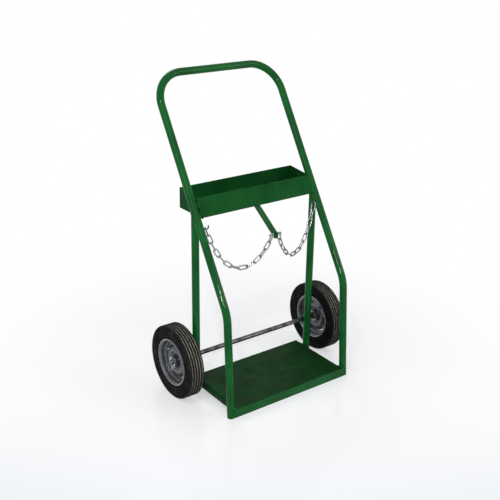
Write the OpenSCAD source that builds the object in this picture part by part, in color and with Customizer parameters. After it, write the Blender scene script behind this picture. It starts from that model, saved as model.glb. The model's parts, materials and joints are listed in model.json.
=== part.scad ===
// Gas cylinder trolley for two cylinders. One bent tube makes the front legs, the slanted
// side rails and the handle. Left is -X and the front is -Y.

/* [Frame] */
// Outside diameter of the frame tube
tube_od = 25.4; // [22:0.2:32]
// Wall of the frame tube
tube_wall = 2.1; // [1.5:0.1:3]
// Distance between the axes of the two side rails
rail_spacing = 480; // [440:5:540]
// Height of the handle above the floor
frame_height = 1039; // [980:1:1100]
// Height at which the legs turn into the slanted rails
leg_bend_height = 350; // [310:5:390]
// Rearward lean of the front legs, in degrees
leg_lean = 4; // [1:0.5:7]
// Rearward slant of the side rails, in degrees
rail_slant = 31.7; // [28:0.1:35]
// Centre-line radius of the bend between leg and rail
leg_bend_r = 115; // [80:5:160]
// Centre-line radius of the handle corners
handle_bend_r = 103; // [80:1:160]
// Diameter by which the tube draws in along its bends
bend_necking = 0.1; // [0.06:0.02:0.2]
// Length by which a straight run of tube reaches into its bend
bend_lap = 0.5; // [0.4:0.1:1]

/* [Uprights] */
// Distance of the rear uprights behind the feet of the legs
upright_y = 202; // [190:1:230]
// Height of the lower ends of the uprights
upright_foot = 12; // [6:1:16]

/* [Deck] */
// Height of the deck's top face
deck_height = 34; // [30:1:42]
// Thickness of the deck plate
deck_t = 3.4; // [2.5:0.1:5]
// Distance of the deck's rear edge behind the feet of the legs
deck_rear = 240; // [225:1:260]
// Depth of the deck's turned-down side flanges
deck_flange = 22; // [12:1:25]
// Inside radius of the deck's bends
deck_bend_r = 3; // [2:0.5:5]
// Depth of the front angle along the floor
angle_depth = 25; // [20:1:32]
// Thickness of the front angle
angle_t = 4; // [3:0.5:6]
// Inside fillet of the front angle
angle_fillet = 4; // [2:0.5:6]

/* [Tool tray] */
// Height of the underside of the tool tray
tray_floor = 620; // [600:1:635]
// Sheet thickness of the tool tray
tray_t = 2; // [1.5:0.1:3]
// Height of the tool tray's front wall
tray_front_h = 58; // [40:1:80]
// Height of the tool tray's rear wall
tray_rear_h = 68; // [50:1:90]
// Distance of the tool tray's rear face behind the feet of the legs
tray_rear = 312; // [290:1:330]
// Mean radius of the tool tray's bends
tray_bend_r = 5; // [3:0.5:8]

/* [Divider] */
// Thickness of the divider bar
divider_t = 5; // [4:0.5:8]
// Width of the divider bar
divider_w = 24; // [18:1:32]
// Radius of the divider bar's rounded nose
divider_nose_r = 13; // [11:0.5:18]
// Distance of the divider's weld behind the feet of the legs
divider_foot_y = 208; // [200:1:240]
// Distance of the keeper pin behind the feet of the legs
keeper_y = 100; // [80:1:120]
// Height of the keeper pin
keeper_z = 545; // [530:1:560]
// Diameter of the keeper pin's heads
keeper_head_d = 12; // [10:0.5:16]
// Thickness of the keeper pin's heads
keeper_head_t = 3; // [2:0.5:5]
// Free length of the keeper pin on each side of the divider
keeper_reach = 17; // [15:0.5:24]

/* [Chains] */
// Wire of the chain links
link_wire = 4.5; // [3.5:0.1:4.8]
// Inside length of a chain link
link_inner_l = 28; // [24:0.5:32]
// Inside width of a chain link
link_inner_w = 8; // [7.8:0.1:9]
// Number of links in each chain, an odd number
link_count = 13; // [13:2:17]
// Rod of the rail hooks and of the keeper pin
hook_rod = 4.5; // [4:0.1:5]
// Straight reach of a rail hook from the tube to its upward bend
hook_reach = 10.5; // [10:0.5:16]
// Centre-line radius of a rail hook's bend
hook_bend_r = 4.5; // [4:0.5:8]
// Length of a rail hook's upturned tip
hook_tip = 7; // [6:0.5:9]
// Height of the rail hooks
hook_z = 588; // [575:1:592]
// Distance from the rail tube to the link that hangs on its hook
hook_offset = 6.5; // [6:0.5:7.5]
// Distance from the divider to the link that hangs on the keeper pin
keeper_offset = 9; // [8:0.5:10]

/* [Wheels] */
// Diameter of the tyres
wheel_d = 250; // [230:2:280]
// Width of the tyres
tyre_w = 51; // [50:1:64]
// Distance from the trolley's centre to the middle of a wheel
wheel_x = 301; // [298:0.5:325]
// Radius of the rolled rim lip
rim_r = 80; // [79.5:0.5:86]
// Radius of the rim's tyre seat
seat_r = 74.5; // [73:0.5:75]
// Width between the middles of the two rim flanges
rim_w = 42; // [38:1:44]
// Sheet thickness of the rim halves
rim_t = 2; // [1.5:0.1:2.5]
// Height of the rolled lip outside the rim flange
lip_roll = 4; // [3.5:0.5:5]
// Height of the raised ring round the hub
rim_swell = 8; // [4:0.5:11]
// Radius of the middle of the raised ring
swell_r = 38; // [36:0.5:40]
// Width of the top of the raised ring
swell_w = 9; // [7:0.5:11]
// Width of the raised ring's slope towards the hub
swell_slope = 5; // [3:0.5:6]
// Height of the recess between the raised ring and the hub
rim_recess = 2; // [0:0.5:3]
// Width of the flat in which the rivets sit
rivet_flat = 12; // [10:0.5:13]
// Number of grooves round the tread
groove_count = 5; // [3:1:6]
// Width of a tread groove
groove_w = 3; // [2:0.5:4]
// Depth of a tread groove
groove_depth = 3.2; // [2:0.2:5]
// Draft by which a tread groove narrows on each side
groove_draft = 0.5; // [0.2:0.1:0.8]
// Distance from the tyre's side to the middle of its outermost groove
shoulder_w = 6.5; // [6:0.5:9]
// Radius of the tyre's shoulders
shoulder_r = 3.5; // [2:0.5:4]
// Height over which the sidewall swells out above the rim lip
bead_slope = 4; // [3:0.5:6]
// Radius where the sidewall meets the tyre's bead
bead_r = 4; // [3:0.5:6]
// Radius of the circle of rim rivets
rivet_circle_r = 60; // [58:0.5:61]
// Number of rivets that join the two rim halves
rivet_count = 5; // [4:1:8]
// Shank diameter of the rim rivets
rivet_d = 5; // [4:0.5:6]
// Head diameter of the rim rivets
rivet_head_d = 9; // [8:0.5:10]
// Head height of the rim rivets
rivet_head_h = 2.5; // [1.5:0.5:4]

/* [Hub and axle] */
// Diameter of the axle
axle_d = 16; // [14:0.5:18]
// Outside diameter of the wheel hub
hub_d = 44; // [42:0.5:48]
// Length of the wheel hub
hub_l = 36; // [32:1:42]
// Outside diameter of the wheel bearings
bearing_d = 35; // [34:0.5:37]
// Width of the wheel bearings
bearing_w = 9; // [8:0.5:11]
// Number of balls in a bearing
ball_count = 8; // [6:1:9]
// Diameter of the balls
ball_d = 6; // [5:0.2:6.4]
// Depth of the grooves that the balls run in
race_depth = 1; // [0.6:0.1:1.2]
// Wall of the hub's ledges behind the bearings
hub_ledge = 3; // [2:0.5:5]
// Outside diameter of the washers
washer_d = 36; // [30:1:40]
// Thickness of the washers
washer_t = 2.5; // [1.5:0.1:3]
// Outside diameter of the axle collars
collar_d = 28; // [24:1:34]
// Length of the axle collars
collar_l = 8; // [6:0.5:12]
// Diameter of the cotter pins
cotter_d = 3.5; // [3:0.1:4]
// Wire of the cotter pins' eyes and ends
cotter_wire = 2; // [1.6:0.1:2.4]
// Centre-line radius of the cotter pins' eyes
cotter_eye_r = 4.5; // [3.5:0.5:6]
// Length of the cotter pins' spread ends
cotter_end = 7; // [5:0.5:10]
// Angle at which each end of a cotter pin is spread, in degrees
cotter_spread = 35; // [20:5:60]
// Length of the axle beyond the middle of a cotter pin
axle_tip = 5; // [4:0.5:7]
// Chamfer at the ends of the axle
axle_chamfer = 1.3; // [0.8:0.1:2]
// Thickness of the axle lugs
lug_t = 6; // [4:0.5:8]
// Wall of the axle lugs round the axle
lug_wall = 8; // [6:0.5:12]
// Height of the axle lugs along the uprights
lug_h = 56; // [44:1:70]
// Depth of the axle lugs' ends behind the uprights
lug_toe = 3; // [2:0.5:6]

/* [Clearances] */
// Gap left at welded seats
weld_gap = 0.2; // [0.1:0.05:0.3]
// Radial clearance of pressed and bolted fits
fit_gap = 0.05; // [0.02:0.01:0.08]
// Clearance between turning and fixed faces
run_gap = 0.3; // [0.2:0.05:0.5]
// Slack between two chain links
link_slack = 0.35; // [0.3:0.05:0.5]
// Slack between an end link and its hook
hook_slack = 1.15; // [1.05:0.05:1.2]

/* [Hidden] */
$fn = 48;
// Length by which a cutting shape runs past a face
past = 1;
tube_r = tube_od / 2;
rail_x = rail_spacing / 2;
// Half the room between the two rails, which the deck and the tool tray fill
inner_x = rail_x - tube_r - weld_gap;
bend_y = leg_bend_height * tan(leg_lean);
bend_turn = rail_slant - leg_lean;
bend_run = leg_bend_r * tan(bend_turn / 2);
handle_z = frame_height - tube_r;
handle_y = rail_axis_y(handle_z);
leg_run = leg_bend_height / cos(leg_lean) - bend_run;
rail_run = (handle_z - leg_bend_height) / cos(rail_slant) - bend_run - handle_bend_r;
// The model stands with the middle of its box over the origin
front_y = -tube_r / cos(leg_lean);
mid_y = (front_y + handle_y + tube_r) / 2;

axle_r = axle_d / 2;
axle_y = upright_y + tube_r + axle_r + weld_gap;
axle_z = wheel_d / 2;
hub_half = hub_l / 2;
cone_half = hub_half + run_gap;
washer_end = cone_half + washer_t;
cotter_u = washer_end + run_gap + cotter_d / 2;
axle_half = wheel_x + cotter_u + axle_tip;

hook_y = rail_axis_y(hook_z);
hook_link_x = inner_x - hook_offset;
keeper_link_x = divider_t / 2 + keeper_offset;
span_y = keeper_y - hook_y;
span_x = hook_link_x - keeper_link_x;
span = norm([span_x, span_y]);
// Direction in which a right-hand hook and chain point at the keeper pin
chain_turn = atan2(span_y, -span_x);
rise = keeper_z - hook_z;
// Distances along the chain between the points about which its links turn
link_pitch = link_inner_l - link_slack;
end_pitch = link_inner_l - (link_slack + hook_rod) / 2 - hook_slack;
chain_l = 2 * end_pitch + (link_count - 2) * link_pitch;

function rail_axis_y(z) = bend_y + (z - leg_bend_height) * tan(rail_slant);
function unit(v) = v / norm(v);
function sinh(v) = (exp(v) - exp(-v)) / 2;
function cosh(v) = (exp(v) + exp(-v)) / 2;
function asinh(v) = ln(v + sqrt(v * v + 1));
function atanh(v) = ln((1 + v) / (1 - v)) / 2;

// Hanging curve of the chain, in the upright plane through its two ends
function solve_hang(ratio, low, high, steps) =
    steps == 0 ? (low + high) / 2 :
    let (mid = (low + high) / 2)
    sinh(mid) / mid > ratio ? solve_hang(ratio, low, mid, steps - 1) : solve_hang(ratio, mid, high, steps - 1);
hang_u = solve_hang(sqrt(chain_l * chain_l - rise * rise) / span, 0.01, 5, 40);
hang_a = span / (2 * hang_u);
hang_x0 = span / 2 - hang_a * atanh(rise / chain_l);
function hang_x(s) = hang_x0 + hang_a * asinh(s / hang_a - sinh(hang_x0 / hang_a));
function hang_point(s) = [hang_x(s), hang_a * (cosh((hang_x(s) - hang_x0) / hang_a) - cosh(hang_x0 / hang_a))];
function pivot_s(i) = i == 0 ? 0 : i == link_count ? chain_l : end_pitch + (i - 1) * link_pitch;

// A path with its corners rounded to the given radii, as points
function corner(p, a, b, r) =
    let (u = unit(a - p), v = unit(b - p), half = acos(u * v) / 2)
    let (c = p + unit(u + v) * r / sin(half), steps = 6)
    let (from = p + u * r / tan(half) - c, to = p + v * r / tan(half) - c)
    [for (i = [0:steps]) let (w = unit(from * (1 - i / steps) + to * i / steps)) c + w * r];
function rounded_path(points, radii) =
    let (last = len(points) - 1)
    [for (i = [0:last], q = (i == 0 || i == last) ? [points[i]] : corner(points[i], points[i - 1], points[i + 1], radii[i])) q];
// The points at one side of a path, at half the sheet thickness
function side_of(path, off) =
    let (last = len(path) - 1)
    [for (i = [0:last])
        let (a = unit(path[min(i + 1, last)] - path[min(i, last - 1)]), b = unit(path[max(i, 1)] - path[max(i - 1, 0)]))
        let (n = unit([-a[1] - b[1], a[0] + b[0]]))
        path[i] + n * off / (n * [-a[1], a[0]])];
function reversed(list) = [for (i = [len(list) - 1:-1:0]) list[i]];
module sheet_profile(path, t) {
    polygon(concat(side_of(path, t / 2), reversed(side_of(path, -t / 2))));
}

// Shapes are drawn for the right side, +X, and mirrored for the left
module left_side() {
    mirror([1, 0, 0]) children();
}
module placed() {
    translate([0, -mid_y, 0]) children();
}
// A profile of the upright YZ plane, drawn as y and z, given its width along X
module along_x(from, to) {
    translate([from, 0, 0]) rotate([90, 0, 90]) linear_extrude(to - from) children();
}
// A shape that turns about X, drawn as radius and distance along X
module turned_x() {
    rotate([0, 90, 0]) rotate_extrude() children();
}
module tube_ring(od, wall) {
    difference() {
        circle(d = od);
        circle(d = od - 2 * wall);
    }
}
module tube_run(l) {
    linear_extrude(l) tube_ring(tube_od, tube_wall);
}
// A bend that starts along +Z and turns towards +Y
module bend(angle, r) {
    translate([0, r, 0]) rotate([90, 0, -90]) rotate_extrude(angle = angle) translate([r, 0]) children();
}
module after_bend(angle, r) {
    translate([0, r * (1 - cos(angle)), r * sin(angle)]) rotate([-angle, 0, 0]) children();
}

// Solid rod along the leg, its bend, the rail and the handle corner of one side
module loop_side(d) {
    translate([rail_x, 0, 0]) rotate([-leg_lean, 0, 0]) {
        translate([0, 0, -tube_od]) cylinder(d = d, h = leg_run + tube_od + bend_lap);
        translate([0, 0, leg_run]) {
            bend(bend_turn, leg_bend_r) circle(d = d - bend_necking);
            after_bend(bend_turn, leg_bend_r) {
                translate([0, 0, -bend_lap]) cylinder(d = d, h = rail_run + 2 * bend_lap);
                translate([0, 0, rail_run]) rotate([0, 0, 90])
                    bend(90, handle_bend_r) circle(d = d - bend_necking);
            }
        }
    }
}
module loop_rod(d) {
    bar_l = 2 * (rail_x - handle_bend_r + bend_lap);
    loop_side(d);
    left_side() loop_side(d);
    translate([0, handle_y, handle_z]) rotate([0, 90, 0]) cylinder(d = d, h = bar_l, center = true);
}
module handle_loop() {
    color("forestgreen") difference() {
        loop_rod(tube_od);
        loop_rod(tube_od - 2 * tube_wall);
        translate([0, 0, -tube_od]) cube([2 * rail_spacing, 4 * tube_od, 2 * tube_od], center = true);
    }
}

// The rail of the right side as a solid rod, to cope what is welded to it
module rail_rod(d) {
    translate([rail_x, bend_y, leg_bend_height]) rotate([-rail_slant, 0, 0])
        translate([0, 0, bend_run]) cylinder(d = d, h = rail_run);
}
module upright() {
    rail_z = leg_bend_height + (upright_y - bend_y) / tan(rail_slant);
    color("forestgreen") difference() {
        translate([rail_x, upright_y, upright_foot]) tube_run(rail_z - upright_foot);
        rail_rod(tube_od + 2 * weld_gap);
    }
}

module rounded_slab(w, h, r) {
    translate([-w / 2, -h]) square([w, h - r]);
    translate([r - w / 2, -h]) square([w - 2 * r, h]);
    for (side = [-1, 1]) translate([side * (w / 2 - r), -r]) circle(r = r);
}
module deck_plate() {
    color("darkgreen") difference() {
        translate([0, deck_rear, deck_height]) rotate([90, 0, 0])
            linear_extrude(deck_rear + tube_r) difference() {
                rounded_slab(2 * inner_x, deck_flange, deck_bend_r + deck_t);
                translate([0, -deck_t]) rounded_slab(2 * (inner_x - deck_t), deck_flange, deck_bend_r);
            }
        // The flanges stop behind the front angle
        along_x(-rail_x, rail_x) translate([-tube_od, 0])
            square([tube_r + angle_depth + weld_gap, deck_height - deck_t]);
    }
}
// The lower end of the right leg as a solid rod, to cope what is welded to it
module leg_rod(d) {
    translate([rail_x, 0, 0]) rotate([-leg_lean, 0, 0])
        translate([0, 0, -tube_od]) cylinder(d = d, h = 4 * tube_od);
}
module front_angle() {
    angle_h = deck_height - deck_t;
    angle_end = rail_x - tube_r / 2;
    color("forestgreen") difference() {
        union() {
            along_x(-angle_end, angle_end) translate([-tube_r, 0]) square([angle_t, angle_h]);
            along_x(-inner_x, inner_x) translate([-tube_r, 0]) {
                square([angle_depth, angle_t]);
                translate([angle_t, angle_t]) difference() {
                    square(angle_fillet);
                    translate([angle_fillet, angle_fillet]) circle(r = angle_fillet);
                }
            }
        }
        leg_rod(tube_od + 2 * weld_gap);
        left_side() leg_rod(tube_od + 2 * weld_gap);
    }
}

tray_front_top = tray_floor + tray_front_h;
tray_rear_top = tray_floor + tray_rear_h;
// Line of the tool tray's front wall, whose outer face is flush with the front of the rails
function tray_front_y(z, in) = rail_axis_y(z) - (tube_r - in) / cos(rail_slant);
module tray_trough() {
    half = tray_t / 2;
    low = tray_floor + half;
    path = [
        [tray_front_y(tray_front_top, half), tray_front_top],
        [tray_front_y(low, half), low],
        [tray_rear - half, low],
        [tray_rear - half, tray_rear_top]
    ];
    color("darkgreen") along_x(tray_t - inner_x, inner_x - tray_t)
        sheet_profile(rounded_path(path, [0, tray_bend_r, tray_bend_r, 0]), tray_t);
}
module tray_end() {
    color("darkgreen") along_x(inner_x - tray_t, inner_x) polygon([
        [tray_front_y(tray_front_top, 0), tray_front_top],
        [tray_front_y(tray_floor, 0), tray_floor],
        [tray_rear, tray_floor],
        [tray_rear, tray_rear_top]
    ]);
}

module divider_bar() {
    slope = atan2(tray_floor - keeper_z, divider_foot_y - keeper_y);
    reach = norm([tray_floor - keeper_z, divider_foot_y - keeper_y]) + divider_w;
    color("forestgreen") along_x(-divider_t / 2, divider_t / 2) difference() {
        translate([keeper_y, keeper_z]) {
            circle(r = divider_nose_r);
            rotate(slope) translate([0, -divider_w / 2]) square([reach, divider_w]);
        }
        translate([keeper_y, tray_floor]) square(2 * reach);
        translate([keeper_y, keeper_z]) circle(d = hook_rod + 2 * fit_gap);
    }
}
module keeper_pin() {
    half = divider_t / 2 + keeper_reach;
    color("silver") translate([0, keeper_y, keeper_z]) rotate([0, 90, 0]) {
        cylinder(d = hook_rod, h = 2 * half, center = true);
        for (side = [0, 180]) rotate([side, 0, 0]) translate([0, 0, half]) {
            cylinder(d = keeper_head_d, h = keeper_head_t / 2);
            translate([0, 0, keeper_head_t / 2])
                cylinder(d1 = keeper_head_d, d2 = keeper_head_d - keeper_head_t, h = keeper_head_t / 2);
        }
    }
}

module chain_hook() {
    tip_chamfer = hook_rod / 4;
    color("forestgreen") difference() {
        translate([hook_link_x, hook_y, hook_z]) rotate([0, 0, chain_turn]) rotate([90, 0, 90]) {
            translate([0, 0, -hook_offset - tube_r]) cylinder(d = hook_rod, h = tube_r + hook_reach);
            translate([0, 0, hook_reach - hook_offset]) {
                bend(90, hook_bend_r) circle(d = hook_rod);
                after_bend(90, hook_bend_r) {
                    cylinder(d = hook_rod, h = hook_tip);
                    translate([0, 0, hook_tip])
                        cylinder(d1 = hook_rod, d2 = hook_rod - 2 * tip_chamfer, h = tip_chamfer);
                }
            }
        }
        rail_rod(tube_od + 2 * weld_gap);
    }
}
// One link, its length along Z and its width along X
module chain_link() {
    bow_r = (link_inner_w + link_wire) / 2;
    straight = (link_inner_l - link_inner_w) / 2;
    for (half = [0, 180]) rotate([0, half, 0]) {
        translate([bow_r, 0, -straight]) cylinder(d = link_wire, h = 2 * straight);
        translate([0, 0, straight]) rotate([90, 0, 0]) rotate_extrude(angle = 180)
            translate([bow_r, 0]) circle(d = link_wire);
    }
}
// The right chain hangs from its rail hook to the keeper pin
module chain() {
    color("silver") translate([hook_link_x, hook_y, hook_z]) rotate([0, 0, chain_turn])
        for (i = [0:link_count - 1]) {
            a = hang_point(pivot_s(i));
            b = hang_point(pivot_s(i + 1));
            run = unit(b - a);
            // An end link is held at its hook, the others lie midway between their pivots
            middle = i == 0 ? b - run * link_pitch / 2 : i == link_count - 1 ? a + run * link_pitch / 2 : (a + b) / 2;
            translate([middle[0], 0, middle[1]]) rotate([0, 90 - atan2(run[1], run[0]), 0])
                rotate([0, 0, i % 2 == 0 ? 90 : 0]) chain_link();
        }
}

// Wheel parts are drawn about the wheel's middle, with +X outwards
module at_wheel() {
    translate([wheel_x, axle_y, axle_z]) children();
}
module on_axle() {
    translate([0, axle_y, axle_z]) children();
}
// Radii of a rim half's bends, from the hub seat to the rolled lip
rim_bends = [0, 3, 4, 6, 8, 6, 2.5, 2, 0];
// Meridian of a rim half: hub seat, raised ring, rivet flat, tyre seat, flange and rolled lip
lip_u = rim_w / 2;
flat_u = rim_t / 2;
hub_seat_r = hub_d / 2 + weld_gap;
rim_path = rounded_path([
    [hub_seat_r, flat_u + rim_recess],
    [swell_r - swell_w / 2 - swell_slope, flat_u + rim_recess],
    [swell_r - swell_w / 2, flat_u + rim_swell],
    [swell_r + swell_w / 2, flat_u + rim_swell],
    [rivet_circle_r - rivet_flat / 2, flat_u],
    [seat_r - rim_t / 2, flat_u],
    [seat_r - rim_t / 2, lip_u],
    [rim_r - rim_t / 2, lip_u],
    [rim_r - rim_t / 2, lip_u + lip_roll]
], rim_bends);
module rim_half() {
    color("slategray") difference() {
        turned_x() sheet_profile(rim_path, rim_t);
        rivet_pattern() cylinder(d = rivet_d + 2 * fit_gap, h = rim_w, center = true);
    }
}
module rivet_pattern() {
    for (i = [0:rivet_count - 1]) rotate([360 / rivet_count * i, 0, 0])
        translate([0, 0, rivet_circle_r]) rotate([0, 90, 0]) children();
}
module rim_rivets() {
    color("silver") rivet_pattern() for (side = [0, 180]) rotate([side, 0, 0]) {
        cylinder(d = rivet_d, h = rim_t + rivet_head_h / 2);
        translate([0, 0, rim_t]) cylinder(d1 = rivet_head_d, d2 = rivet_d, h = rivet_head_h);
    }
}
module tyre() {
    half = tyre_w / 2;
    outer = wheel_d / 2;
    bore = seat_r + run_gap;
    foot_u = lip_u - rim_t / 2 - run_gap;
    lip_clear = rim_r + run_gap;
    pitch = (tyre_w - 2 * shoulder_w) / (groove_count - 1);
    flank = concat(
        [[bore, foot_u - rim_t], [bore + rim_t, foot_u], [lip_clear, foot_u]],
        corner([lip_clear + bead_slope, half], [lip_clear, foot_u], [outer, half], bead_r),
        corner([outer, half], [lip_clear, half], [outer, 0], shoulder_r)
    );
    color("dimgray") turned_x() difference() {
        polygon(concat(flank, [for (p = reversed(flank)) [p[0], -p[1]]]));
        for (i = [0:groove_count - 1])
            translate([outer, (i - (groove_count - 1) / 2) * pitch]) polygon([
                [past, groove_w / 2 + groove_draft],
                [-groove_depth, groove_w / 2 - groove_draft],
                [-groove_depth, groove_draft - groove_w / 2],
                [past, -groove_w / 2 - groove_draft]
            ]);
    }
}
ball_circle_r = (axle_d + bearing_d) / 4;
race_groove_r = ball_d / 2 + 2 * fit_gap;
race_gap = ball_d / 2 - race_depth;
module at_bearings() {
    for (side = [0, 180]) rotate([0, 0, side]) translate([hub_half - bearing_w / 2, 0, 0]) children();
}
module hub() {
    cup_r = bearing_d / 2 + fit_gap;
    bore_r = bearing_d / 2 - hub_ledge;
    color("slategray") turned_x() difference() {
        translate([bore_r, -hub_half]) square([hub_d / 2 - bore_r, hub_l]);
        for (side = [-1, 1]) translate([0, side * (hub_half - bearing_w / 2) - bearing_w / 2])
            square([cup_r, bearing_w]);
    }
}
module bearing_cups() {
    color("silver") at_bearings() turned_x() difference() {
        translate([ball_circle_r + race_gap, -bearing_w / 2])
            square([bearing_d / 2 - ball_circle_r - race_gap, bearing_w]);
        translate([ball_circle_r, 0]) circle(r = race_groove_r);
    }
}
module bearing_balls() {
    color("silver") at_bearings() for (i = [0:ball_count - 1])
        rotate([360 / ball_count * i, 0, 0]) translate([0, 0, ball_circle_r]) sphere(d = ball_d);
}
module bearing_cones() {
    bore_r = axle_r + fit_gap;
    color("silver") at_bearings() turned_x() difference() {
        translate([bore_r, -bearing_w / 2]) square([ball_circle_r - race_gap - bore_r, bearing_w + run_gap]);
        translate([ball_circle_r, 0]) circle(r = race_groove_r);
    }
}

module axle() {
    color("dimgray") on_axle() difference() {
        turned_x() polygon([
            [0, -axle_half],
            [axle_r - axle_chamfer, -axle_half],
            [axle_r, axle_chamfer - axle_half],
            [axle_r, axle_half - axle_chamfer],
            [axle_r - axle_chamfer, axle_half],
            [0, axle_half]
        ]);
        for (side = [-1, 1]) translate([side * (wheel_x + cotter_u), 0, 0])
            cylinder(d = cotter_d + 2 * weld_gap, h = 2 * axle_d, center = true);
    }
}
module axle_lug() {
    color("forestgreen") difference() {
        along_x(rail_x - lug_t / 2, rail_x + lug_t / 2) difference() {
            union() {
                translate([axle_y, axle_z]) circle(r = axle_r + lug_wall);
                polygon([
                    [upright_y, axle_z - lug_h / 2],
                    [upright_y + tube_r + lug_toe, axle_z - lug_h / 2],
                    [axle_y + axle_r, axle_z - axle_r - lug_wall / 2],
                    [axle_y + axle_r, axle_z + axle_r + lug_wall / 2],
                    [upright_y + tube_r + lug_toe, axle_z + lug_h / 2],
                    [upright_y, axle_z + lug_h / 2]
                ]);
            }
            translate([axle_y, axle_z]) circle(r = axle_r + fit_gap);
        }
        translate([rail_x, upright_y, 0]) cylinder(r = tube_r + weld_gap, h = leg_bend_height);
    }
}
module axle_collar() {
    color("slategray") at_wheel() translate([-cone_half, 0, 0]) rotate([0, -90, 0]) difference() {
        cylinder(d = collar_d, h = collar_l);
        translate([0, 0, -past]) cylinder(r = axle_r + fit_gap, h = collar_l + 2 * past);
    }
}
module axle_washer() {
    color("silver") at_wheel() translate([cone_half, 0, 0]) rotate([0, 90, 0]) difference() {
        cylinder(d = washer_d, h = washer_t);
        translate([0, 0, -past]) cylinder(r = axle_r + weld_gap, h = washer_t + 2 * past);
    }
}
// A split pin with its eye above the axle and its two ends spread below it
module cotter_pin() {
    stem = axle_r + cotter_d;
    color("silver") at_wheel() translate([cotter_u, 0, 0]) {
        cylinder(d = cotter_d, h = 2 * stem, center = true);
        translate([0, 0, stem + cotter_eye_r]) rotate([0, 90, 0]) rotate_extrude()
            translate([cotter_eye_r, 0]) circle(d = cotter_wire);
        for (side = [-1, 1]) translate([0, 0, cotter_wire / 2 - stem]) rotate([180 + side * cotter_spread, 0, 0])
            cylinder(d = cotter_wire, h = cotter_end);
    }
}

placed() handle_loop();
placed() left_side() upright();  // left_upright
placed() upright();  // right_upright
placed() deck_plate();
placed() front_angle();
placed() tray_trough();
placed() left_side() tray_end();  // left_tray_end
placed() tray_end();  // right_tray_end
placed() divider_bar();
placed() keeper_pin();
placed() left_side() chain_hook();  // left_chain_hook
placed() chain_hook();  // right_chain_hook
placed() left_side() chain();  // left_chain
placed() chain();  // right_chain
placed() axle();
placed() left_side() axle_lug();  // left_axle_lug
placed() axle_lug();  // right_axle_lug
placed() left_side() axle_collar();  // left_axle_collar
placed() axle_collar();  // right_axle_collar
placed() left_side() axle_washer();  // left_axle_washer
placed() axle_washer();  // right_axle_washer
placed() left_side() cotter_pin();  // left_cotter_pin
placed() cotter_pin();  // right_cotter_pin
placed() left_side() at_wheel() bearing_cones();  // left_bearing_cones
placed() at_wheel() bearing_cones();  // right_bearing_cones
placed() left_side() at_wheel() tyre();  // left_tyre
placed() left_side() at_wheel() rim_half();  // left_outer_rim
placed() left_side() at_wheel() mirror([1, 0, 0]) rim_half();  // left_inner_rim
placed() left_side() at_wheel() rim_rivets();  // left_rim_rivets
placed() left_side() at_wheel() hub();  // left_hub
placed() left_side() at_wheel() bearing_cups();  // left_bearing_cups
placed() left_side() at_wheel() bearing_balls();  // left_bearing_balls
placed() at_wheel() tyre();  // right_tyre
placed() at_wheel() rim_half();  // right_outer_rim
placed() at_wheel() mirror([1, 0, 0]) rim_half();  // right_inner_rim
placed() at_wheel() rim_rivets();  // right_rim_rivets
placed() at_wheel() hub();  // right_hub
placed() at_wheel() bearing_cups();  // right_bearing_cups
placed() at_wheel() bearing_balls();  // right_bearing_balls
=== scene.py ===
import json
import math

import bmesh
import bpy
from mathutils import Matrix, Vector


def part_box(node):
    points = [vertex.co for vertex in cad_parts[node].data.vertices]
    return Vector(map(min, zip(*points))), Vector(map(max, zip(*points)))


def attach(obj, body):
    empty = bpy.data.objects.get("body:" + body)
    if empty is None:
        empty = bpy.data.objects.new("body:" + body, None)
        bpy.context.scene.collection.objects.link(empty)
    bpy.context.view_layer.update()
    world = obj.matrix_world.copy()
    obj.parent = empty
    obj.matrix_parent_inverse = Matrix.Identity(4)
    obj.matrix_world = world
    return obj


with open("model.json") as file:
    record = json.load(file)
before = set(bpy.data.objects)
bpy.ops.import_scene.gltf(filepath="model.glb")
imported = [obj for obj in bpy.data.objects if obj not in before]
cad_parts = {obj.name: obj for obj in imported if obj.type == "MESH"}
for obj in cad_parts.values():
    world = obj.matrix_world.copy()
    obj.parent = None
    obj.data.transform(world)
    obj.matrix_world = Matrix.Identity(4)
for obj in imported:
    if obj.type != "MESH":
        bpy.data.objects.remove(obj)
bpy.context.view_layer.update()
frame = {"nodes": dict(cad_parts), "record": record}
nodes = frame["nodes"]
print("frame loaded,", len(nodes), "nodes")


# Places that several pieces share, read from the frame
def middleOf(node):
    low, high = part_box(node)
    return (low + high) / 2


uprightLow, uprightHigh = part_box("right_upright")
tubeRadius = (uprightHigh.x - uprightLow.x) / 2
uprightX = middleOf("right_upright").x
uprightY = uprightLow.y + tubeRadius
tyreLow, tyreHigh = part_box("right_tyre")
wheelMiddle = middleOf("right_tyre")
wheelRadius = (tyreHigh.z - tyreLow.z) / 2
railSlant = math.radians(31.7)  # lean of the side rails


# Camera at the photograph's viewpoint
cameraSet = {
    "place": Vector((-1.5989, -2.1339, 1.5261)),
    "target": Vector((-0.1748, -0.2211, 0.5644)),
    "roll": math.radians(0.89),
    "lens": 61.55,
    "sensor": 36.0,
}


def addCamera():
    forward = (cameraSet["target"] - cameraSet["place"]).normalized()
    side = forward.cross(Vector((0, 0, 1))).normalized()
    up = side.cross(forward)
    right = side * math.cos(cameraSet["roll"]) + up * math.sin(cameraSet["roll"])
    top = right.cross(forward)
    turn = Matrix((right, top, -forward)).transposed().to_4x4()
    data = bpy.data.cameras.new("photoCamera")
    data.sensor_fit = "HORIZONTAL"
    data.sensor_width = cameraSet["sensor"]
    data.lens = cameraSet["lens"]
    camera = bpy.data.objects.new("photoCamera", data)
    camera.matrix_world = Matrix.Translation(cameraSet["place"]) @ turn
    bpy.context.scene.collection.objects.link(camera)
    bpy.context.scene.camera = camera


addCamera()
print("camera set")


# Small helpers for the finishes
def newFinish(name):
    finish = bpy.data.materials.new(name)
    finish.use_nodes = True
    tree = finish.node_tree
    coords = tree.nodes.new("ShaderNodeTexCoord").outputs["Object"]
    return finish, tree, tree.nodes["Principled BSDF"], coords


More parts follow.
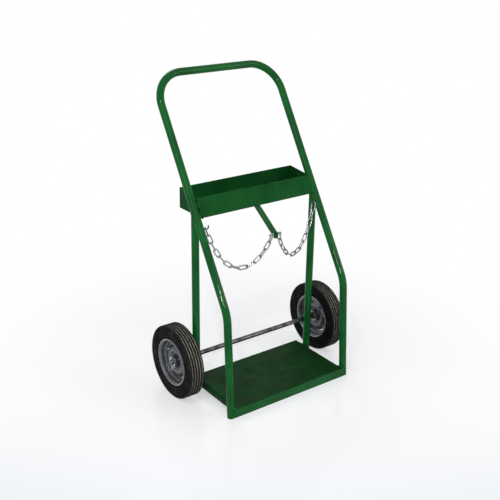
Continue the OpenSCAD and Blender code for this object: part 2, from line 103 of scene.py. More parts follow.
def feed(tree, socket, value):  # a socket takes a link or a plain value
    if isinstance(value, bpy.types.NodeSocket):
        tree.links.new(value, socket)
    elif socket.type == "RGBA":
        socket.default_value = (*value, 1.0)
    else:
        socket.default_value = value


def noiseOf(tree, coords, look):
    if "stretch" in look:
        mapping = tree.nodes.new("ShaderNodeMapping")
        mapping.inputs["Scale"].default_value = look["stretch"]
        tree.links.new(coords, mapping.inputs["Vector"])
        coords = mapping.outputs["Vector"]
    noise = tree.nodes.new("ShaderNodeTexNoise")
    noise.inputs["Scale"].default_value = look["scale"]
    noise.inputs["Detail"].default_value = look["detail"]
    tree.links.new(coords, noise.inputs["Vector"])
    return noise.outputs["Fac"]


def rangeOf(tree, value, low, high, outLow=0.0, outHigh=1.0):
    node = tree.nodes.new("ShaderNodeMapRange")
    node.interpolation_type = "SMOOTHSTEP"
    tree.links.new(value, node.inputs["Value"])
    node.inputs["From Min"].default_value = low
    node.inputs["From Max"].default_value = high
    node.inputs["To Min"].default_value = outLow
    node.inputs["To Max"].default_value = outHigh
    return node.outputs["Result"]


def mathOf(tree, operation, first, second=0.0):
    node = tree.nodes.new("ShaderNodeMath")
    node.operation = operation
    feed(tree, node.inputs[0], first)
    feed(tree, node.inputs[1], second)
    return node.outputs[0]


def mixOf(tree, share, first, second):  # sockets 6, 7 and 2 are the node's colour sockets
    node = tree.nodes.new("ShaderNodeMix")
    node.data_type = "RGBA"
    feed(tree, node.inputs["Factor"], share)
    feed(tree, node.inputs[6], first)
    feed(tree, node.inputs[7], second)
    return node.outputs[2]


def bumpOf(tree, height, strength, depth, normal=None):
    node = tree.nodes.new("ShaderNodeBump")
    node.inputs["Strength"].default_value = strength
    node.inputs["Distance"].default_value = depth
    tree.links.new(height, node.inputs["Height"])
    if normal is not None:
        tree.links.new(normal, node.inputs["Normal"])
    return node.outputs["Normal"]


def patchesOf(tree, coords, look):  # noise cut into patches with soft edges
    return rangeOf(tree, noiseOf(tree, coords, look), *look["span"])


def grainOf(tree, coords, look, normal=None):  # noise raised as a fine relief
    return bumpOf(tree, noiseOf(tree, coords, look), look["strength"], look["depth"], normal)


def wavesOf(tree, radius, pitch):  # fine rings round the axle
    return mathOf(tree, "SINE", mathOf(tree, "MULTIPLY", radius, 2 * math.pi / pitch))


def wheelPlaces(tree, coords):  # radius from the axle and distance from the wheel's middle plane
    parts = tree.nodes.new("ShaderNodeSeparateXYZ")
    tree.links.new(coords, parts.inputs["Vector"])
    y = mathOf(tree, "SUBTRACT", parts.outputs["Y"], wheelMiddle.y)
    z = mathOf(tree, "SUBTRACT", parts.outputs["Z"], wheelMiddle.z)
    squares = mathOf(tree, "ADD", mathOf(tree, "MULTIPLY", y, y), mathOf(tree, "MULTIPLY", z, z))
    radius = mathOf(tree, "SQRT", squares)
    outward = mathOf(tree, "ABSOLUTE", parts.outputs["X"])
    across = mathOf(tree, "SUBTRACT", outward, wheelMiddle.x)
    return radius, mathOf(tree, "ABSOLUTE", across)


# Green paint, glossy on the tube and duller on the sheet
framePaint = {
    "colour": (0.0028, 0.088, 0.0145),
    "shade": (0.0020, 0.060, 0.0100),
    # edge: lighter where the paint is thin on the edges, and also a painted highlight along them
    "edge": (0.030, 0.150, 0.050),
    "edgeWidth": 0.0012,
    "steel": (0.16, 0.16, 0.15),
    "gloss": (0.05, 0.12),
    "shine": 0.11,
    "chips": 0.75,
}
sheetPaint = {
    "colour": (0.0058, 0.066, 0.0135),
    "shade": (0.0036, 0.041, 0.0082),
    # edge: lighter where the paint is thin on the edges, and also a painted highlight along them
    "edge": (0.048, 0.180, 0.070),
    "edgeWidth": 0.0021,
    "steel": (0.14, 0.14, 0.13),
    "gloss": (0.38, 0.58),
    "shine": 0.035,
    "chips": 0.71,
    # painted shade on the deck, laid on in dirt-like patches
    "shadeAndGrime": (0.0046, 0.0180, 0.0044),
    "shadeAndGrimeShare": (0.45, 0.80),
    "shadeAndGrimeTop": (0.060, 0.045),
}
paintLook = {
    "cloud": {"scale": 9.0, "detail": 4.0, "span": (0.35, 0.65)},
    "thinPaintAndHighlight": {"scale": 55.0, "detail": 4.0, "span": (0.38, 0.62)},
    "chip": {"scale": 140.0, "detail": 5.0},
    "chipSoft": 0.03,
    "scratch": {"scale": 70.0, "detail": 2.0, "stretch": (9, 1, 0.35), "span": (0.75, 0.78)},
    "scratchShare": 0.5,
    # patches for the deck's painted shade
    "shadeAndGrime": {"scale": 14.0, "detail": 5.0},
    "shadeAndGrimeSpan": (0.35, 0.65),
    "worn": {"scale": 26.0, "detail": 4.0},
    "wornSpan": (0.35, 0.70),
    "bareRough": 0.2,
    "ripple": {"scale": 45.0, "detail": 1.0, "strength": 0.14, "depth": 0.002},
    "peel": {"scale": 520.0, "detail": 1.0, "strength": 0.06, "depth": 0.0003},
    "edgeSamples": 6,
    "edgeSpan": (0.985, 0.90),
}


def edgesOf(tree, radius):  # 1 on a piece's edges and 0 on its faces, with the rounded normal
    rounded = tree.nodes.new("ShaderNodeBevel")
    rounded.samples = paintLook["edgeSamples"]
    rounded.inputs["Radius"].default_value = radius
    face = tree.nodes.new("ShaderNodeNewGeometry")
    turned = tree.nodes.new("ShaderNodeVectorMath")
    turned.operation = "DOT_PRODUCT"
    tree.links.new(rounded.outputs["Normal"], turned.inputs[0])
    tree.links.new(face.outputs["Normal"], turned.inputs[1])
    edge = rangeOf(tree, turned.outputs["Value"], *paintLook["edgeSpan"])
    return edge, rounded.outputs["Normal"]


def makePaint(name, paint):
    finish, tree, shader, coords = newFinish(name)
    cloud = patchesOf(tree, coords, paintLook["cloud"])
    colour = mixOf(tree, cloud, paint["shade"], paint["colour"])
    # The edge colour marks thin paint on the edges and also paints a highlight along them
    edge, rounded = edgesOf(tree, paint["edgeWidth"])
    thinPaintAndHighlight = mathOf(tree, "MULTIPLY", edge, patchesOf(tree, coords, paintLook["thinPaintAndHighlight"]))
    colour = mixOf(tree, thinPaintAndHighlight, colour, paint["edge"])
    chip = noiseOf(tree, coords, paintLook["chip"])
    chip = rangeOf(tree, chip, paint["chips"], paint["chips"] + paintLook["chipSoft"])
    scratch = patchesOf(tree, coords, paintLook["scratch"])
    scratch = mathOf(tree, "MULTIPLY", scratch, paintLook["scratchShare"])
    bare = mathOf(tree, "MAXIMUM", chip, scratch)
    colour = mixOf(tree, bare, colour, paint["steel"])
    if "shadeAndGrime" in paint:  # painted shade low on the sheet, the deck, laid on in dirt-like patches
        parts = tree.nodes.new("ShaderNodeSeparateXYZ")
        tree.links.new(coords, parts.inputs["Vector"])
        low = rangeOf(tree, parts.outputs["Z"], *paint["shadeAndGrimeTop"])
        shadeAndGrime = noiseOf(tree, coords, paintLook["shadeAndGrime"])
        shadeAndGrime = rangeOf(tree, shadeAndGrime, *paintLook["shadeAndGrimeSpan"], *paint["shadeAndGrimeShare"])
        colour = mixOf(tree, mathOf(tree, "MULTIPLY", low, shadeAndGrime), colour, paint["shadeAndGrime"])
    tree.links.new(colour, shader.inputs["Base Color"])
    worn = noiseOf(tree, coords, paintLook["worn"])
    worn = rangeOf(tree, worn, *paintLook["wornSpan"], *paint["gloss"])
    rough = mathOf(tree, "ADD", worn, mathOf(tree, "MULTIPLY", bare, paintLook["bareRough"]))
    tree.links.new(rough, shader.inputs["Roughness"])
    ripple = grainOf(tree, coords, paintLook["ripple"], rounded)
    peel = grainOf(tree, coords, paintLook["peel"], ripple)
    tree.links.new(peel, shader.inputs["Normal"])
    shader.inputs["Specular IOR Level"].default_value = paint["shine"]
    return finish


# Black tyre rubber with pale dust along the tread grooves, which also paints the highlight on the
# rib edges
tyreRubber = {
    "side": (0.0030, 0.0030, 0.0033),
    "tread": (0.0120, 0.0116, 0.0112),
    "dustAndHighlight": (0.390, 0.370, 0.325),
    "dustAndHighlightShare": (0.55, 1.0),
    "film": (0.0170, 0.0163, 0.0155),
    "pitch": 0.0095,
    "line": 0.12,
    "lineSoft": 0.05,
    "treadDepth": 0.0045,
    "treadSoft": 0.0006,
    "cloud": {"scale": 38.0, "detail": 5.0, "span": (0.35, 0.68)},
    "scuff": {"scale": 32.0, "detail": 6.0, "span": (0.54, 0.74, 0.0, 0.9)},
    "roughness": (0.48, 0.68),
    "shine": 0.03,
    "ringPitch": 0.0065,
    "ringStrength": 0.25,
    "ringDepth": 0.0003,
    "grain": {"scale": 900.0, "detail": 2.0, "strength": 0.25, "depth": 0.0003},
}


def makeRubber(name):
    finish, tree, shader, coords = newFinish(name)
    radius, across = wheelPlaces(tree, coords)
    cloud = patchesOf(tree, coords, tyreRubber["cloud"])
    floorOfTread = wheelRadius - tyreRubber["treadDepth"]
    tread = rangeOf(tree, radius, floorOfTread - tyreRubber["treadSoft"], floorOfTread)
    cell = mathOf(tree, "DIVIDE", across, tyreRubber["pitch"])
    off = mathOf(tree, "SUBTRACT", cell, mathOf(tree, "ROUND", cell))
    off = mathOf(tree, "ABSOLUTE", off)
    line = rangeOf(tree, off, tyreRubber["line"] + tyreRubber["lineSoft"], tyreRubber["line"])
    # Pale lines in the grooves: dust, and also a painted highlight on the rib edges
    dustyAndLit = rangeOf(tree, cloud, 0.0, 1.0, *tyreRubber["dustAndHighlightShare"])
    dustyAndLit = mathOf(tree, "MULTIPLY", mathOf(tree, "MULTIPLY", tread, line), dustyAndLit)
    colour = mixOf(tree, tread, tyreRubber["side"], tyreRubber["tread"])
    scuff = patchesOf(tree, coords, tyreRubber["scuff"])
    colour = mixOf(tree, scuff, colour, tyreRubber["film"])
    colour = mixOf(tree, dustyAndLit, colour, tyreRubber["dustAndHighlight"])
    tree.links.new(colour, shader.inputs["Base Color"])
    rough = rangeOf(tree, cloud, 0.0, 1.0, *tyreRubber["roughness"])
    tree.links.new(rough, shader.inputs["Roughness"])
    rings = wavesOf(tree, radius, tyreRubber["ringPitch"])
    rings = mathOf(tree, "MULTIPLY", rings, mathOf(tree, "SUBTRACT", 1.0, tread))
    mould = bumpOf(tree, rings, tyreRubber["ringStrength"], tyreRubber["ringDepth"])
    grain = grainOf(tree, coords, tyreRubber["grain"], mould)
    tree.links.new(grain, shader.inputs["Normal"])
    shader.inputs["Specular IOR Level"].default_value = tyreRubber["shine"]
    return finish


# Grey pressed steel of the wheel rims and hubs
rimSteel = {
    "colour": (0.098, 0.104, 0.115),
    "shade": (0.070, 0.075, 0.084),
    "cloud": {"scale": 60.0, "detail": 5.0, "span": (0.34, 0.66)},
    # painted light: the channel inside the rim is made lighter against its shade
    "channelFillLight": (0.150, 0.158, 0.172),
    "channelRadius": 0.054,
    "channelSoft": 0.006,
    "channelFillLightShare": (0.45, 1.0),
    # painted highlight round the rolled lip of the rim
    "lip": (0.28, 0.29, 0.31),
    "lipRadius": 0.0773,
    "lipSoft": 0.0008,
    # this dark colour paints shade in the hub's recess and at the seat corner, and real dirt in
    # the specks
    "shadeAndGrime": (0.022, 0.022, 0.022),
    "recessRadii": (0.0315, 0.0255),
    "recessDepths": (0.012, 0.008),
    "recessShare": 0.40,
    "cornerRadius": 0.0695,
    "cornerSpan": (0.004, 0.001),
    "cornerShare": 0.25,
    "speck": {"scale": 210.0, "detail": 5.0, "span": (0.64, 0.72)},
    "speckShare": 0.5,
    "roughness": (0.17, 0.45),
    "brushPitch": 0.0011,
    "brushStrength": 0.06,
    "brushDepth": 0.0001,
    "dents": {"scale": 60.0, "detail": 2.0, "strength": 0.22, "depth": 0.0015},
    "metal": 0.7,
}


def makeRimSteel(name):
    finish, tree, shader, coords = newFinish(name)
    radius, across = wheelPlaces(tree, coords)
    cloud = patchesOf(tree, coords, rimSteel["cloud"])
    colour = mixOf(tree, cloud, rimSteel["shade"], rimSteel["colour"])
    # Painted light that makes the rim's channel lighter against its shade
    start = rimSteel["channelRadius"]
    channelFillLight = rangeOf(tree, radius, start, start + rimSteel["channelSoft"])
    share = rangeOf(tree, cloud, 0.0, 1.0, *rimSteel["channelFillLightShare"])
    channelFillLight = mathOf(tree, "MULTIPLY", channelFillLight, share)
    colour = mixOf(tree, channelFillLight, colour, rimSteel["channelFillLight"])
    # Painted highlight round the rolled lip
    start = rimSteel["lipRadius"]
    lip = rangeOf(tree, radius, start, start + rimSteel["lipSoft"])
    colour = mixOf(tree, lip, colour, rimSteel["lip"])
    # Painted shade in the hub's recess and at the seat corner, with real dirt specks
    recessShade = rangeOf(tree, radius, *rimSteel["recessRadii"])
    deep = rangeOf(tree, across, *rimSteel["recessDepths"])
    recessShade = mathOf(tree, "MULTIPLY", recessShade, deep)
    recessShade = mathOf(tree, "MULTIPLY", recessShade, rimSteel["recessShare"])
    corner = mathOf(tree, "SUBTRACT", radius, rimSteel["cornerRadius"])
    corner = rangeOf(tree, mathOf(tree, "ABSOLUTE", corner), *rimSteel["cornerSpan"])
    corner = mathOf(tree, "MULTIPLY", corner, rimSteel["cornerShare"])
    speck = patchesOf(tree, coords, rimSteel["speck"])
    speck = mathOf(tree, "MULTIPLY", speck, rimSteel["speckShare"])
    shadeAndDirt = mathOf(tree, "MAXIMUM", mathOf(tree, "MAXIMUM", recessShade, corner), speck)
    colour = mixOf(tree, shadeAndDirt, colour, rimSteel["shadeAndGrime"])
    tree.links.new(colour, shader.inputs["Base Color"])
    rough = rangeOf(tree, shadeAndDirt, 0.0, 1.0, *rimSteel["roughness"])
    tree.links.new(rough, shader.inputs["Roughness"])
    brushed = wavesOf(tree, radius, rimSteel["brushPitch"])
    turned = bumpOf(tree, brushed, rimSteel["brushStrength"], rimSteel["brushDepth"])
    dents = grainOf(tree, coords, rimSteel["dents"], turned)
    tree.links.new(dents, shader.inputs["Normal"])
    shader.inputs["Metallic"].default_value = rimSteel["metal"]
    return finish


# Bright zinc on the chains, pins and washers
zincPlate = {
    "colour": (0.38, 0.39, 0.41),
    "shade": (0.20, 0.205, 0.22),
    "stain": (0.09, 0.085, 0.075),
    "cloud": {"scale": 130.0, "detail": 4.0, "span": (0.36, 0.64)},
    "crystalScale": 420.0,
    "crystalSpan": (0.15, 0.6),
    "stains": {"scale": 75.0, "detail": 5.0, "span": (0.66, 0.74)},
    "stainShare": 0.6,
    "roughness": (0.16, 0.34),
    "grain": {"scale": 650.0, "detail": 2.0, "strength": 0.12, "depth": 0.0002},
    "metal": 1.0,
}


def makeZinc(name):
    finish, tree, shader, coords = newFinish(name)
    cloud = patchesOf(tree, coords, zincPlate["cloud"])
    crystals = tree.nodes.new("ShaderNodeTexVoronoi")
    crystals.inputs["Scale"].default_value = zincPlate["crystalScale"]
    tree.links.new(coords, crystals.inputs["Vector"])
    spangle = rangeOf(tree, crystals.outputs["Distance"], *zincPlate["crystalSpan"])
    spangle = mathOf(tree, "MULTIPLY", cloud, spangle)
    colour = mixOf(tree, spangle, zincPlate["colour"], zincPlate["shade"])
    stain = patchesOf(tree, coords, zincPlate["stains"])
    stain = mathOf(tree, "MULTIPLY", stain, zincPlate["stainShare"])
    colour = mixOf(tree, stain, colour, zincPlate["stain"])
    tree.links.new(colour, shader.inputs["Base Color"])
    rough = rangeOf(tree, cloud, 0.0, 1.0, *zincPlate["roughness"])
    tree.links.new(rough, shader.inputs["Roughness"])
    tree.links.new(grainOf(tree, coords, zincPlate["grain"]), shader.inputs["Normal"])
    shader.inputs["Metallic"].default_value = zincPlate["metal"]
    return finish


# Turned steel of the axle, its collars and the bearings, with tool marks that run round the axle
axleSteel = {
    "colour": (0.13, 0.13, 0.135),
    "shade": (0.055, 0.054, 0.052),
    "rust": (0.10, 0.055, 0.03),
    "rustEdge": 0.68,
}
bearingSteel = {
    "colour": (0.60, 0.61, 0.63),
    "shade": (0.38, 0.38, 0.39),
    "rust": (0.20, 0.17, 0.13),
    "rustEdge": 0.76,
}
turnedLook = {
    "cloud": {"scale": 45.0, "detail": 4.0, "span": (0.35, 0.65)},
    "rust": {"scale": 95.0, "detail": 5.0},
    "rustSoft": 0.06,
    "roughness": (0.42, 0.26),
    "marks": {
        "scale": 90.0,
        "detail": 3.0,
        "stretch": (25, 0.4, 0.4),
        "strength": 0.15,
        "depth": 0.0002,
    },
    "metal": 0.9,
}


def makeTurnedSteel(name, steel):
    finish, tree, shader, coords = newFinish(name)
    cloud = patchesOf(tree, coords, turnedLook["cloud"])
    colour = mixOf(tree, cloud, steel["shade"], steel["colour"])
    rust = noiseOf(tree, coords, turnedLook["rust"])
    rust = rangeOf(tree, rust, steel["rustEdge"], steel["rustEdge"] + turnedLook["rustSoft"])
    colour = mixOf(tree, rust, colour, steel["rust"])
    tree.links.new(colour, shader.inputs["Base Color"])
    rough = rangeOf(tree, cloud, 0.0, 1.0, *turnedLook["roughness"])
    tree.links.new(rough, shader.inputs["Roughness"])
    tree.links.new(grainOf(tree, coords, turnedLook["marks"]), shader.inputs["Normal"])
    shader.inputs["Metallic"].default_value = turnedLook["metal"]
    return finish


finishes = {
    "frame_paint": makePaint("framePaint", framePaint),
    "sheet_paint": makePaint("sheetPaint", sheetPaint),
    "tyre_rubber": makeRubber("tyreRubber"),
    "rim_paint": makeRimSteel("rimSteel"),
    "zinc": makeZinc("zincPlate"),
    "axle_steel": makeTurnedSteel("axleSteel", axleSteel),
    "bearing_steel": makeTurnedSteel("bearingSteel", bearingSteel),
}
for part in frame["record"]["subparts"]:
    mesh = nodes[part["node"]].data
    mesh.materials.clear()
    mesh.materials.append(finishes[part["material_slot"]])


# Weld beads: a small ring drawn along the seam, swelling and narrowing with each drop
weldSet = {
    "drop": 0.0030,
    "neck": 0.82,
    "tip": 0.35,
    "sides": 8,
    "fewest": 4,
    "shortest": 1e-9,
    "merge": 0.00002,
}


def stationsAlong(seam):  # evenly spaced places along a seam given by a few points
    lengths = [0.0]
    for a, b in zip(seam, seam[1:]):
        lengths.append(lengths[-1] + (b - a).length)
    count = max(weldSet["fewest"], 2 * round(lengths[-1] / weldSet["drop"]))
    places = []
    k = 0
    for i in range(count + 1):
        want = lengths[-1] * i / count
        while k < len(seam) - 2 and lengths[k + 1] < want:
            k += 1
        step = max(lengths[k + 1] - lengths[k], weldSet["shortest"])
        share = (want - lengths[k]) / step
        places.append(seam[k].lerp(seam[k + 1], min(share, 1.0)))
    return places


def vertsIn(geometry):
    return [g for g in geometry if isinstance(g, bmesh.types.BMVert)]


def beadAlong(bm, seam, radius, closed=False):
    places = stationsAlong(seam)
    last = len(places) - 1
    frames = []
    for i, place in enumerate(places):
        ahead = places[1] if closed and i == last else places[min(i + 1, last)]
        behind = places[last - 1] if closed and i == 0 else places[max(i - 1, 0)]
        swell = 1.0 if i % 2 else weldSet["neck"]
        if not closed and i in (0, last):
            swell = weldSet["tip"]
        turn = (ahead - behind).to_track_quat("Z", "Y").to_matrix().to_4x4()
        frames.append(Matrix.Translation(place) @ turn @ Matrix.Scale(swell, 4))
    ring = bmesh.ops.create_circle(bm, radius=radius, segments=weldSet["sides"], matrix=frames[0])
    edges = list(dict.fromkeys(e for v in ring["verts"] for e in v.link_edges))
    if not closed:
        bmesh.ops.contextual_create(bm, geom=edges)
    for before, after in zip(frames, frames[1:]):
        grown = bmesh.ops.extrude_edge_only(bm, edges=edges)["geom"]
        edges = [g for g in grown if isinstance(g, bmesh.types.BMEdge)]
        bmesh.ops.transform(bm, matrix=after @ before.inverted(), verts=vertsIn(grown))
    if not closed:
        bmesh.ops.contextual_create(bm, geom=edges)


def settleOrder(elements, place):  # operators may list new elements in another order each run
    ranks = {element: rank for rank, element in enumerate(sorted(elements, key=place))}
    elements.sort(key=ranks.get)
    elements.index_update()


def finishPiece(name, bm, body, slot):
    bmesh.ops.remove_doubles(bm, verts=bm.verts, dist=weldSet["merge"])
    bmesh.ops.recalc_face_normals(bm, faces=bm.faces)
    settleOrder(bm.verts, lambda v: tuple(v.co))
    settleOrder(bm.faces, lambda f: sorted(v.index for v in f.verts))
    mesh = bpy.data.meshes.new(name)
    bm.to_mesh(mesh)
    bm.free()
    mesh.shade_smooth()
    mesh.materials.append(finishes[slot])
    piece = bpy.data.objects.new(name, mesh)
    bpy.context.scene.collection.objects.link(piece)
    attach(piece, body)


# Welds round the uprights' coped tops and along both sides of the axle lugs
uprightWeld = {
    "radius": 0.0024,
    "steps": 48,
    "lugRadius": 0.0019,
    "lugGap": 0.0008,
    "lugRise": 0.0004,
    "lugInset": 0.002,
}


def copeSeam(side):  # where an upright's coped top meets the underside of its rail
    half = railSlant / 2
    seam = []
    for i in range(uprightWeld["steps"] + 1):
        turn = 2 * math.pi * i / uprightWeld["steps"]
        back = tubeRadius * math.sin(turn)
        rise = back / math.tan(half) if back < 0 else -back * math.tan(half)
        x = side * uprightX + tubeRadius * math.cos(turn)
        seam.append(Vector((x, uprightY + back, uprightHigh.z + rise)))
    return seam


def addUprightWelds():
    bm = bmesh.new()
    low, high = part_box("right_axle_lug")
    half = (high.x - low.x) / 2 + uprightWeld["lugGap"]
    y = uprightY + math.sqrt(tubeRadius ** 2 - half ** 2) + uprightWeld["lugRise"]
    bottom = low.z + uprightWeld["lugInset"]
    top = high.z - uprightWeld["lugInset"]
    for side in (-1, 1):
        beadAlong(bm, copeSeam(side), uprightWeld["radius"], closed=True)
        for edge in (-1, 1):
            x = side * uprightX + edge * half
            beadAlong(bm, [Vector((x, y, bottom)), Vector((x, y, top))], uprightWeld["lugRadius"])
    finishPiece("upright_welds", bm, "frame", "frame_paint")


# Welds between the deck's edges and the legs and uprights beside them
deckWeld = {
    "radius": 0.0028,
    "inset": 0.0014,
    "drop": 0.0022,
    "front": 0.0030,
    "legGap": 0.002,
    "reach": 0.011,
}


def addDeckWelds():
    bm = bmesh.new()
    low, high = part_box("deck_plate")
    legY = low.y + tubeRadius + deckWeld["legGap"]
    z = high.z - deckWeld["drop"]
    runs = (
        (low.y + deckWeld["front"], legY + deckWeld["reach"]),
        (uprightY - deckWeld["reach"], uprightY + deckWeld["reach"]),
    )
    for side in (-1, 1):
        x = side * (high.x - deckWeld["inset"])
        for start, stop in runs:
            beadAlong(bm, [Vector((x, start, z)), Vector((x, stop, z))], deckWeld["radius"])
    finishPiece("deck_welds", bm, "frame", "frame_paint")


# The front angle is welded to the legs along its upright end and its top edge
angleWeld = {
    "radius": 0.0017,
    "lean": math.tan(math.radians(4.0)),
    "inset": 0.0021,
    "sink": 0.0004,
    "foot": 0.0030,
    "turn": 0.0070,
    "step": 0.0012,
    "rise": 0.0008,
}


def addAngleWelds():
    bm = bmesh.new()
    low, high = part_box("front_angle")
    y = low.y + angleWeld["inset"]
    for side in (-1, 1):
        x = side * (high.x - angleWeld["sink"])
        inner = side * (high.x - angleWeld["turn"])
        seam = [
            Vector((x, y, angleWeld["foot"])),
            Vector((x, y + angleWeld["lean"] * high.z, high.z)),
            Vector((inner, y + angleWeld["step"], high.z + angleWeld["rise"])),
        ]
        beadAlong(bm, seam, angleWeld["radius"])
    finishPiece("angle_welds", bm, "frame", "frame_paint")


# Welds between the tray and the divider under it, and between the tray's ends and the rails
trayWeld = {
    "barRadius": 0.0018,
    "barGap": 0.0006,
    "barDrop": 0.0008,
    "barRun": (0.038, 0.002),
    "endRadius": 0.0024,
    "endGap": 0.0012,
    "endStep": 0.0075,
    "topGap": 0.010,
    "endRuns": ((0.08, 0.36), (0.62, 0.92)),
}


def addTrayWelds():
    bm = bmesh.new()
    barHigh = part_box("divider_bar")[1]
    floor, top = (corner.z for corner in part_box("tray_trough"))
    z = floor - trayWeld["barDrop"]
    front, back = (barHigh.y - reach for reach in trayWeld["barRun"])
    for side in (-1, 1):
        x = side * (barHigh.x + trayWeld["barGap"])
        beadAlong(bm, [Vector((x, front, z)), Vector((x, back, z))], trayWeld["barRadius"])
    endLow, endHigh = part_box("right_tray_end")
    lean = Vector((0, math.sin(railSlant), math.cos(railSlant)))
    reach = top - trayWeld["topGap"] - floor
    for side in (-1, 1):
        x = side * (endHigh.x + trayWeld["endGap"])
        base = Vector((x, endLow.y + trayWeld["endStep"], endLow.z))
        for start, stop in trayWeld["endRuns"]:
            seam = [base + lean * reach * start, base + lean * reach * stop]
            beadAlong(bm, seam, trayWeld["endRadius"])
    finishPiece("tray_welds", bm, "frame", "frame_paint")


# Rings of weld round the hooks' roots and between the hubs and their rims
ringSet = {
    "gap": 0.0004,
    "hookTurn": math.radians(18.87),
    "hookRod": 0.00225,
    "hookBead": 0.0011,
    "hookSink": 0.0007,
    "hookSteps": 36,
    "hubFace": 0.0044,
    "hubBead": 0.0015,
    "hubSteps": 72,
}


def ringSeam(middle, across, radius, count):
    first = across.orthogonal().normalized()
    second = across.cross(first).normalized()
    turns = [2 * math.pi * i / count for i in range(count + 1)]
    return [middle + first * radius * math.cos(t) + second * radius * math.sin(t) for t in turns]


def addHookWelds():
    bm = bmesh.new()
    low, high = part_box("right_chain_hook")
    rod = ringSet["hookRod"]
    for side in (-1, 1):
        along = Vector((side * math.cos(ringSet["hookTurn"]), math.sin(ringSet["hookTurn"]), 0))
        root = Vector((side * (high.x - ringSet["hookSink"]), high.y - rod, low.z + rod))
        seam = ringSeam(root, along, rod + ringSet["gap"], ringSet["hookSteps"])
        beadAlong(bm, seam, ringSet["hookBead"], closed=True)
    finishPiece("hook_welds", bm, "frame", "frame_paint")


def addHubWelds(name, side):
    bm = bmesh.new()
    low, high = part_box("right_hub")
    radius = (high.z - low.z) / 2 + ringSet["gap"]
    for face in (-1, 1):
        x = side * wheelMiddle.x + face * ringSet["hubFace"]
        middle = Vector((x, wheelMiddle.y, wheelMiddle.z))
        seam = ringSeam(middle, Vector((1, 0, 0)), radius, ringSet["hubSteps"])
        beadAlong(bm, seam, ringSet["hubBead"], closed=True)
    finishPiece(name + "_hub_welds", bm, name + "_wheel", "rim_paint")


# A set screw in each axle collar, with its socket
screwSet = {
    "radius": 0.0030,
    "sides": 24,
    "sink": 0.0006,
    "rise": 0.0010,
    "socket": 0.0015,
    "depth": 0.0014,
}


def addCollarScrews():
    bm = bmesh.new()
    low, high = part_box("right_axle_collar")
    rim = screwSet["radius"] - screwSet["socket"]
    for side in (-1, 1):
        x = side * (low.x + high.x) / 2
        place = Matrix.Translation((x, wheelMiddle.y, high.z - screwSet["sink"]))
        ring = bmesh.ops.create_circle(
            bm, cap_ends=True, radius=screwSet["radius"], segments=screwSet["sides"], matrix=place)
        face = ring["verts"][0].link_faces[0]
        wall = bmesh.ops.extrude_face_region(bm, geom=[face])["geom"]
        bmesh.ops.translate(bm, vec=(0, 0, screwSet["rise"]), verts=vertsIn(wall))
        cap = [g for g in wall if isinstance(g, bmesh.types.BMFace)]
        bmesh.ops.inset_region(bm, faces=cap, thickness=rim)
        sunk = bmesh.ops.extrude_face_region(bm, geom=cap)["geom"]
        bmesh.ops.translate(bm, vec=(0, 0, -screwSet["depth"]), verts=vertsIn(sunk))
    finishPiece("collar_screws", bm, "frame", "axle_steel")


addUprightWelds()
addDeckWelds()
addAngleWelds()
addTrayWelds()
addHookWelds()
addHubWelds("left", -1)
addHubWelds("right", 1)
addCollarScrews()
print("welds and screws made")


# Pale floor whose glow, a painted light, fades to white away from the object, and which is a
# little greyer in front as a painted shade
floorSet = {
    "reach": 9.0,
    "colour": (0.877, 0.887, 0.907),
    "roughness": 0.16,
    "shine": 0.35,
    "fade": (0.30, 1.25),
    "glow": 0.42,
    "far": (1.0, 1.0, 1.0),
    "frontShadeColour": (0.83, 0.858, 0.895),
    "nearWay": (-0.597, -0.802, 0.0),
    "nearFrom": (0.1, 1.0),
    "nearReach": (2.4, 1.0),
}


def addFloor():
    bm = bmesh.new()
    bmesh.ops.create_grid(bm, x_segments=2, y_segments=2, size=floorSet["reach"])
    mesh = bpy.data.meshes.new("studioFloor")
    bm.to_mesh(mesh)
    bm.free()
    floor = bpy.data.objects.new("studioFloor", mesh)
    bpy.context.scene.collection.objects.link(floor)
    finish, tree, shader, coords = newFinish("studioFloor")
    feed(tree, shader.inputs["Base Color"], floorSet["colour"])
    shader.inputs["Roughness"].default_value = floorSet["roughness"]
    shader.inputs["Specular IOR Level"].default_value = floorSet["shine"]
    length = tree.nodes.new("ShaderNodeVectorMath")
    length.operation = "LENGTH"
    tree.links.new(coords, length.inputs[0])
    distance = length.outputs["Value"]
    fade = rangeOf(tree, distance, *floorSet["fade"], floorSet["glow"])
    toward = tree.nodes.new("ShaderNodeVectorMath")
    toward.operation = "DOT_PRODUCT"
    tree.links.new(coords, toward.inputs[0])
    toward.inputs[1].default_value = floorSet["nearWay"]
    frontShadeShare = rangeOf(tree, toward.outputs["Value"], *floorSet["nearFrom"])
    reach = rangeOf(tree, distance, *floorSet["nearReach"])
    frontShadeShare = mathOf(tree, "MULTIPLY", frontShadeShare, reach)
    # The glow is painted light on the floor; towards the front it is greyer, a painted shade
    glow = tree.nodes.new("ShaderNodeEmission")
    tree.links.new(mixOf(tree, frontShadeShare, floorSet["far"], floorSet["frontShadeColour"]), glow.inputs["Color"])
    blend = tree.nodes.new("ShaderNodeMixShader")
    tree.links.new(fade, blend.inputs[0])
    tree.links.new(shader.outputs["BSDF"], blend.inputs[1])
    tree.links.new(glow.outputs["Emission"], blend.inputs[2])
    tree.links.new(blend.outputs["Shader"], tree.nodes["Material Output"].inputs["Surface"])
    mesh.materials.append(finish)


# Soft light from all round, seen as white by the camera and in reflections
skySet = {
    "colour": (1.0, 1.0, 1.0),
    "light": 0.55,
}


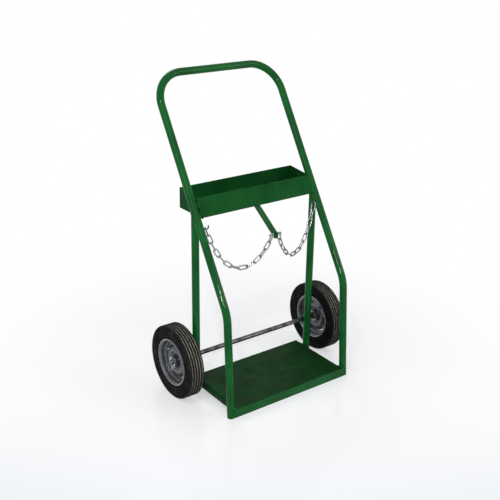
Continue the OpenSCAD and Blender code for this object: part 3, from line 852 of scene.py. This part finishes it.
def addSky():
    world = bpy.data.worlds.new("studioSky")
    world.use_nodes = True
    bpy.context.scene.world = world
    tree = world.node_tree
    light = tree.nodes["Background"]
    feed(tree, light.inputs["Color"], skySet["colour"])
    light.inputs["Strength"].default_value = skySet["light"]
    backdrop = tree.nodes.new("ShaderNodeBackground")
    feed(tree, backdrop.inputs["Color"], skySet["colour"])
    path = tree.nodes.new("ShaderNodeLightPath")
    seen = mathOf(tree, "MAXIMUM", path.outputs["Is Camera Ray"], path.outputs["Is Glossy Ray"])
    seen = mathOf(tree, "MAXIMUM", seen, path.outputs["Is Transmission Ray"])
    blend = tree.nodes.new("ShaderNodeMixShader")
    tree.links.new(seen, blend.inputs[0])
    tree.links.new(light.outputs["Background"], blend.inputs[1])
    tree.links.new(backdrop.outputs["Background"], blend.inputs[2])
    tree.links.new(blend.outputs["Shader"], tree.nodes["World Output"].inputs["Surface"])


# Lamps: the small ones in front and above make the streaks on the tube
lampSet = {
    "keyLamp": {
        "place": Vector((-2.2, -1.6, 2.6)),
        "target": Vector((0, 0, 0.5)),
        "size": (1.2, 1.6),
        "power": 18,
    },
    "fillLamp": {
        "place": Vector((1.8, -2.4, 1.9)),
        "target": Vector((0, 0, 0.8)),
        "size": (0.6, 0.6),
        "power": 12,
    },
    "frontLamp": {
        "place": Vector((-1.62, -2.25, 1.76)),
        "target": Vector((-0.2, -0.2, 0.5)),
        "size": (0.12, 0.12),
        "power": 30,
    },
    "highLamp": {
        "place": Vector((-2.0, -1.6, 3.55)),
        "target": Vector((-0.2, 0.0, 0.8)),
        "size": (0.14, 0.14),
        "power": 19,
    },
    "backLamp": {
        "place": Vector((0.6, 2.4, 3.5)),
        "target": Vector((0, 0, 0.6)),
        "size": (1.6, 0.8),
        "power": 28,
    },
}


def addLamp(name, values):
    data = bpy.data.lights.new(name, "AREA")
    data.shape = "RECTANGLE"
    data.size, data.size_y = values["size"]
    data.energy = values["power"]
    lamp = bpy.data.objects.new(name, data)
    lamp.location = values["place"]
    aim = values["target"] - values["place"]
    lamp.rotation_euler = aim.to_track_quat("-Z", "Y").to_euler()
    bpy.context.scene.collection.objects.link(lamp)


addFloor()
addSky()
for lampName, lampValues in lampSet.items():
    addLamp(lampName, lampValues)
bpy.context.scene.view_settings.view_transform = "Standard"
print("stage set")
